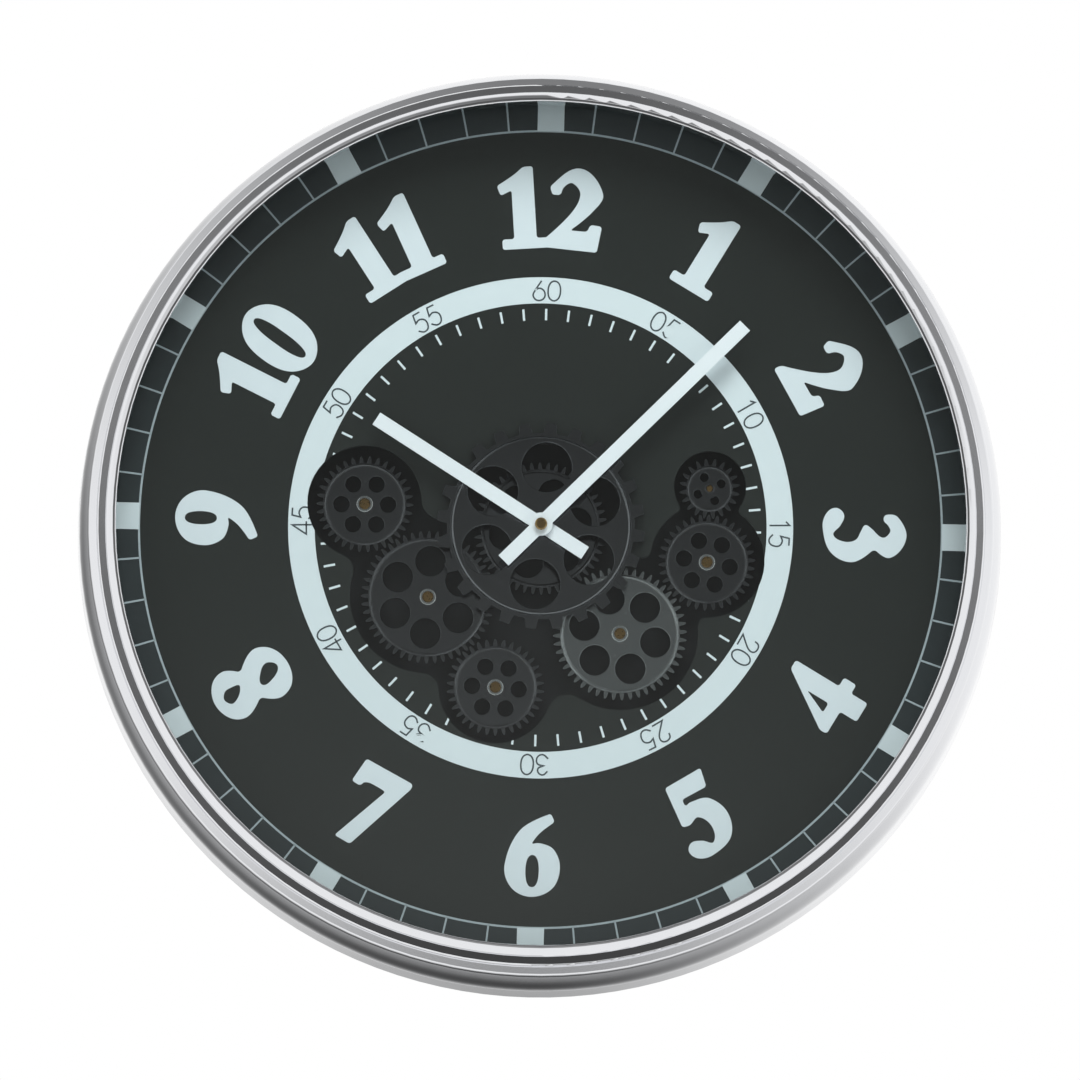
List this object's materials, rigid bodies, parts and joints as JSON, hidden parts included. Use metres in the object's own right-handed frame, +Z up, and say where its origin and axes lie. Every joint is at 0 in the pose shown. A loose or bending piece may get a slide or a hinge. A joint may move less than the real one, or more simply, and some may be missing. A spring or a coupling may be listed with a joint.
{
  "type": "wall clock",
  "caption": "Round wall clock: stepped polished ring, glass, pierced dark dial over a moving gear train, bar hands, battery movement, geared motor, keyhole hanger.",
  "frame": {"origin": "on the hands' axis, in the plane of the wall at the clock's back face", "axes": "+X to the clock's right as seen from the front, +Y into the wall, +Z up; the dial faces -Y"},
  "size_m": [0.46, 0.067, 0.46],
  "materials": {
    "polished_ring": "polished, lightly pitted plating",
    "clear_glass": "clear flat glass",
    "black_moulding": "satin moulding",
    "dial_paint": "satin dark grey-green paint with white print",
    "zinc_steel": "bright zinc plate",
    "black_steel": "black paint",
    "brass": "turned brass",
    "small_post_steel": "turned steel",
    "contact_metal": "spring steel",
    "cell_sleeve": "printed sleeve",
    "felt": "felt",
    "dark_nickel": "dark mirror plating",
    "bright_bush": "bright plating",
    "white_hand": "white satin paint",
    "grey_switch": "moulded"
  },
  "bodies": {
    "case": {"case_ring": "polished_ring", "front_glass": "clear_glass", "inner_frame": "black_moulding", "dial_plate": "dial_paint", "dial_clips": "zinc_steel", "dial_clip_screws": "zinc_steel", "gear_bed": "black_steel", "bed_standoffs": "zinc_steel", "bed_screws": "zinc_steel", "left_mid_post": "brass", "left_top_post": "brass", "bot_left_post": "brass", "right_post": "brass", "top_right_post": "small_post_steel", "quartz_housing": "black_moulding", "neck_tube": "brass", "neck_washer": "zinc_steel", "neck_nut": "brass", "clock_cell": "cell_sleeve", "clock_contacts": "contact_metal", "motor_housing": "black_moulding", "motor_screws": "zinc_steel", "motor_cell": "cell_sleeve", "motor_contacts": "contact_metal", "back_cover": "black_steel", "cover_screws": "zinc_steel", "hanger_plate": "zinc_steel", "hanger_rivets": "zinc_steel", "wall_pads": "felt"},
    "centre_wheel": {"centre_gear": "dark_nickel", "centre_sleeve": "dark_nickel", "cup_gear": "dark_nickel"},
    "left_mid_wheel": {"left_mid_gear": "dark_nickel", "left_mid_bush": "bright_bush"},
    "left_top_wheel": {"left_top_gear": "dark_nickel", "left_top_bush": "bright_bush"},
    "bot_left_wheel": {"bot_left_gear": "dark_nickel", "bot_left_bush": "bright_bush"},
    "bot_right_wheel": {"bot_right_gear": "dark_nickel", "bot_right_bush": "bright_bush", "bot_right_arbor": "brass"},
    "right_wheel": {"right_gear": "dark_nickel", "right_bush": "bright_bush"},
    "top_right_wheel": {"top_right_gear": "dark_nickel", "top_right_bush": "dark_nickel"},
    "minute_hand_set": {"minute_arbor": "brass", "minute_hand": "white_hand", "hand_nut": "brass"},
    "hour_hand_set": {"hour_tube": "brass", "hour_hand": "white_hand"},
    "set_knob_body": {"set_knob": "black_moulding"},
    "switch_body": {"switch_slider": "grey_switch"}
  },
  "joints": [
    {"name": "centre_gear_spin", "type": "hinge", "parent": "case", "child": "centre_wheel", "pos_m": [0, 0, 0], "axis": [0, 1, 0], "continuous": true},
    {"name": "left_mid_gear_spin", "type": "hinge", "parent": "case", "child": "left_mid_wheel", "pos_m": [-0.05472, 0, -0.0356], "axis": [0, 1, 0], "continuous": true},
    {"name": "left_top_gear_spin", "type": "hinge", "parent": "case", "child": "left_top_wheel", "pos_m": [-0.08714, 0, 0.00976], "axis": [0, 1, 0], "continuous": true},
    {"name": "bot_left_gear_spin", "type": "hinge", "parent": "case", "child": "bot_left_wheel", "pos_m": [-0.02027, 0, -0.07945], "axis": [0, 1, 0], "continuous": true},
    {"name": "bot_right_gear_spin", "type": "hinge", "parent": "case", "child": "bot_right_wheel", "pos_m": [0.04041, 0, -0.05126], "axis": [0, 1, 0], "continuous": true},
    {"name": "right_gear_spin", "type": "hinge", "parent": "case", "child": "right_wheel", "pos_m": [0.08253, 0, -0.01472], "axis": [0, 1, 0], "continuous": true},
    {"name": "top_right_gear_spin", "type": "hinge", "parent": "case", "child": "top_right_wheel", "pos_m": [0.08307, 0, 0.022], "axis": [0, 1, 0], "continuous": true},
    {"name": "minute_hand_spin", "type": "hinge", "parent": "case", "child": "minute_hand_set", "pos_m": [0, 0, 0], "axis": [0, 1, 0], "continuous": true},
    {"name": "hour_hand_spin", "type": "hinge", "parent": "case", "child": "hour_hand_set", "pos_m": [0, 0, 0], "axis": [0, 1, 0], "continuous": true},
    {"name": "set_knob_spin", "type": "hinge", "parent": "case", "child": "set_knob_body", "pos_m": [0, 0, 0.014], "axis": [0, 1, 0], "continuous": true},
    {"name": "motor_switch_slide", "type": "slide", "parent": "case", "child": "switch_body", "axis": [1, 0, 0], "range_m": [0, 0.003]}
  ],
  "couplings": [
    {"joint": "left_mid_gear_spin", "follows": "centre_gear_spin", "ratio": -1},
    {"joint": "bot_right_gear_spin", "follows": "centre_gear_spin", "ratio": -1},
    {"joint": "left_top_gear_spin", "follows": "centre_gear_spin", "ratio": 1.4118},
    {"joint": "bot_left_gear_spin", "follows": "centre_gear_spin", "ratio": 1.4118},
    {"joint": "right_gear_spin", "follows": "centre_gear_spin", "ratio": 1.4118},
    {"joint": "top_right_gear_spin", "follows": "centre_gear_spin", "ratio": -2.4},
    {"joint": "hour_hand_spin", "follows": "minute_hand_spin", "ratio": 0.083333},
    {"joint": "set_knob_spin", "follows": "minute_hand_spin", "ratio": -1}
  ]
}
